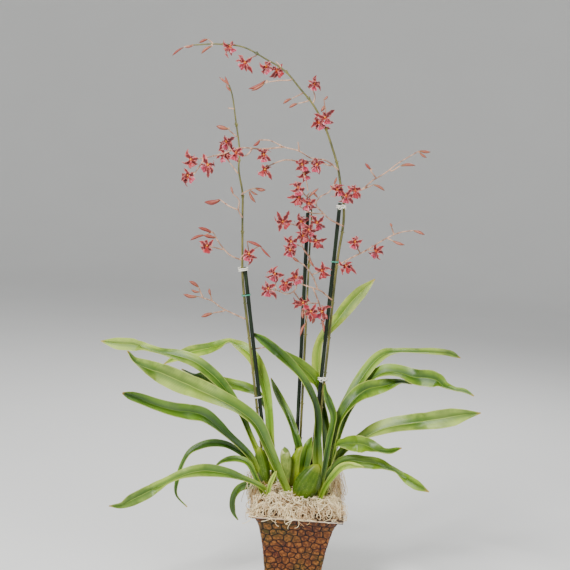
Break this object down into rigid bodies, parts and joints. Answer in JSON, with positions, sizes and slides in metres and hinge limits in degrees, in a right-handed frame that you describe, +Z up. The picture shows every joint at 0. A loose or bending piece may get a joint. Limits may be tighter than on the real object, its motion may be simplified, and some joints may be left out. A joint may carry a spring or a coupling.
{
  "type": "potted orchid",
  "caption": "Strap-leaved orchid with bulbs and tall staked spikes of small star flowers, growing in wood wool in a square flared metal pot that stands on its flat underside.",
  "frame": {"origin": "centre of the pot's underside", "axes": "+Z up, -Y towards the front"},
  "size_m": [0.608, 0.2159, 0.8598],
  "materials": {
    "pot": "aged copper with raised scales",
    "wool": "dry shavings",
    "mix": "damp bark",
    "root": "fibrous",
    "bulb": "smooth living skin",
    "leaf": "satin leaf",
    "bloom": "soft petals",
    "stake": "satin",
    "tie": "satin"
  },
  "bodies": {
    "root": {"stake_left": "stake", "stake_middle": "stake", "stake_right": "stake", "spike_right": "bloom", "spike_middle": "bloom", "spike_left": "bloom", "tie_left_top": "tie", "tie_left_upper": "tie", "tie_left_lower": "tie", "tie_middle_top": "tie", "tie_right_top": "tie", "tie_right_upper": "tie", "tie_right_lower": "tie", "bulb_left": "bulb", "bulb_front": "bulb", "bulb_back": "bulb", "bulb_old": "bulb", "bulb_right": "bulb", "leaf_left_1": "leaf", "leaf_left_2": "leaf", "leaf_left_3": "leaf", "leaf_left_4": "leaf", "leaf_left_5": "leaf", "leaf_left_6": "leaf", "leaf_left_7": "leaf", "leaf_left_8": "leaf", "leaf_left_9": "leaf", "leaf_middle_1": "leaf", "leaf_middle_2": "leaf", "leaf_middle_3": "leaf", "leaf_right_1": "leaf", "leaf_right_2": "leaf", "leaf_right_3": "leaf", "leaf_right_4": "leaf", "leaf_right_5": "leaf", "leaf_right_6": "leaf", "leaf_right_7": "leaf", "leaf_right_8": "leaf", "leaf_right_9": "leaf", "shoot_front": "leaf", "sheath_back": "leaf", "spray_right_1": "bloom", "spray_right_2": "bloom", "spray_right_3": "bloom", "spray_right_4": "bloom", "spray_right_5": "bloom", "spray_left_1": "bloom", "spray_left_2": "bloom", "spray_left_3": "bloom", "spray_left_4": "bloom", "rhizome": "root", "wood_wool": "wool", "planting_mix": "mix", "pot": "pot"}
  },
  "joints": []
}
